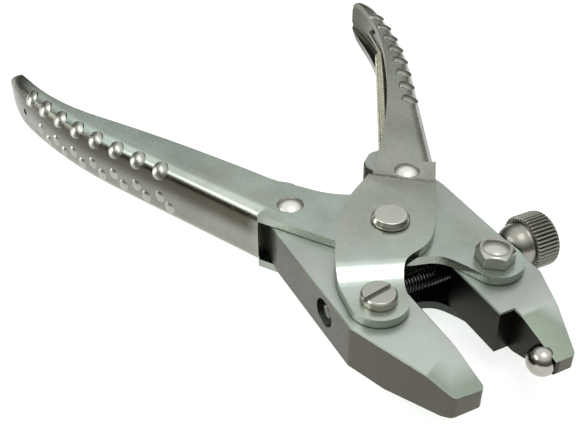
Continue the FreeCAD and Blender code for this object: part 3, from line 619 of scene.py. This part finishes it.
new_piece("thumb_screw_rod_shape", threaded_rod(), "thumb_screw_rod", black_thread,
          ["thumb_screw_rod"], 50)
new_piece("thumb_screw_head_shape", knurled_knob(), "thumb_screw_head", knurled_steel,
          ["thumb_screw_head"], 60)
new_piece("forming_ball_shape", ball(), "right_jaw", polished_ball, ["forming_ball"])
new_piece("return_spring_shape", wire(spring_path(), WIRE_RADIUS), "right_handle",
          spring_wire, ["return_spring"], 60)


# Floor, light and camera

FLOOR_RADIUS = 15.0
FLOOR_LIFT = 0.6


def studio_floor():
    """A plain pale floor, lifted to white where it is seen, which keeps the pliers' shadow."""
    bm = bmesh.new()
    bmesh.ops.create_circle(bm, cap_ends=True, segments=96, radius=FLOOR_RADIUS)
    mesh = bpy.data.meshes.new("floor")
    bm.to_mesh(mesh)
    bm.free()
    floor = bpy.data.objects.new("floor", mesh)
    bpy.context.scene.collection.objects.link(floor)
    material = bpy.data.materials.new("white_floor")
    material.use_nodes = True
    tree = material.node_tree
    shader = tree.nodes["Principled BSDF"]
    shader.inputs["Base Color"].default_value = (0.8, 0.8, 0.8, 1)
    shader.inputs["Roughness"].default_value = 1.0
    shader.inputs["Specular IOR Level"].default_value = 0.0
    path = add_node(tree, "ShaderNodeLightPath").outputs
    seen = add_node(tree, "ShaderNodeMath", {0: path["Is Camera Ray"], 1: path["Is Glossy Ray"]},
                    operation="MAXIMUM").outputs["Value"]
    seen = add_node(tree, "ShaderNodeMath", {0: seen, 1: path["Is Transmission Ray"]},
                    operation="MAXIMUM").outputs["Value"]
    lift = add_node(tree, "ShaderNodeMath", {0: seen, 1: FLOOR_LIFT}, operation="MULTIPLY").outputs["Value"]
    glow = add_node(tree, "ShaderNodeEmission", {"Strength": lift}).outputs["Emission"]
    both = add_node(tree, "ShaderNodeAddShader", {0: shader.outputs["BSDF"], 1: glow}).outputs["Shader"]
    tree.links.new(both, tree.nodes["Material Output"].inputs["Surface"])
    mesh.materials.append(material)


def studio_world():
    """A light tent: bright above, greyer low down."""
    world = bpy.data.worlds.new("light_tent")
    bpy.context.scene.world = world
    world.use_nodes = True
    tree = world.node_tree
    way = add_node(tree, "ShaderNodeTexCoord").outputs["Generated"]
    rise = add_node(tree, "ShaderNodeSeparateXYZ", {"Vector": way}).outputs["Z"]
    ramp = add_node(tree, "ShaderNodeValToRGB", {"Fac": rise})
    stops = ((0.0, (0.12, 0.11, 0.10)), (0.3, (0.13, 0.12, 0.11)), (0.46, (0.27, 0.27, 0.25)),
             (0.6, (0.52, 0.53, 0.51)), (0.76, (0.98, 0.98, 0.97)), (1.0, (0.95, 0.95, 0.95)))
    while len(ramp.color_ramp.elements) < len(stops):
        ramp.color_ramp.elements.new(0.5)
    for element, (position, colour) in zip(ramp.color_ramp.elements, stops):
        element.position = position
        element.color = (*colour, 1)
    tree.links.new(ramp.outputs["Color"], tree.nodes["Background"].inputs["Color"])


def softbox(name, way, distance, width, height, radiance):
    """A rectangular lamp that faces the pliers from a way seen from them."""
    lamp = bpy.data.lights.new(name, "AREA")
    lamp.shape = "RECTANGLE"
    lamp.size = width
    lamp.size_y = height
    lamp.energy = radiance * math.pi * width * height
    box = bpy.data.objects.new(name, lamp)
    bpy.context.scene.collection.objects.link(box)
    way = Vector(way).normalized()
    facing = way.to_track_quat("Z", "Y").to_matrix().to_4x4()
    box.matrix_world = Matrix.Translation(way * distance) @ facing
    box.visible_camera = False


def photo_camera():
    """The camera fitted to the photograph: its place, its angles and its lens."""
    photo_width = 583
    focal_pixels = 901.397
    centre_offset_x = 0.725
    centre_offset_y = 2.511
    azimuth = math.radians(63.642)
    elevation = math.radians(36.707)
    roll = math.radians(0.256)
    place = Vector((0.12348, -0.08367, 0.13100))
    back = Vector((math.sin(azimuth) * math.cos(elevation), -math.cos(azimuth) * math.cos(elevation),
                   math.sin(elevation)))
    level_right = Vector((0, 0, 1)).cross(back).normalized()
    level_up = back.cross(level_right)
    right = level_right * math.cos(roll) - level_up * math.sin(roll)
    up = level_up * math.cos(roll) + level_right * math.sin(roll)
    data = bpy.data.cameras.new("photo_camera")
    data.sensor_width = 36
    data.lens = focal_pixels / photo_width * data.sensor_width
    data.shift_x = -centre_offset_x / photo_width
    data.shift_y = centre_offset_y / photo_width
    camera = bpy.data.objects.new("photo_camera", data)
    bpy.context.scene.collection.objects.link(camera)
    turn = Matrix((right, up, back)).transposed().to_4x4()
    camera.matrix_world = Matrix.Translation(place) @ turn
    bpy.context.scene.camera = camera


studio_floor()
studio_world()
softbox("overhead_softbox", (0.2, 0.0, 0.98), 0.5, 0.24, 0.24, 1.7)
softbox("side_softbox", (-0.18, -0.75, 0.63), 0.5, 0.3, 0.12, 3.5)
softbox("low_softbox", (-0.62, -0.76, 0.14), 0.5, 0.12, 0.13, 7.0)
photo_camera()
bpy.context.scene.view_settings.view_transform = "Standard"
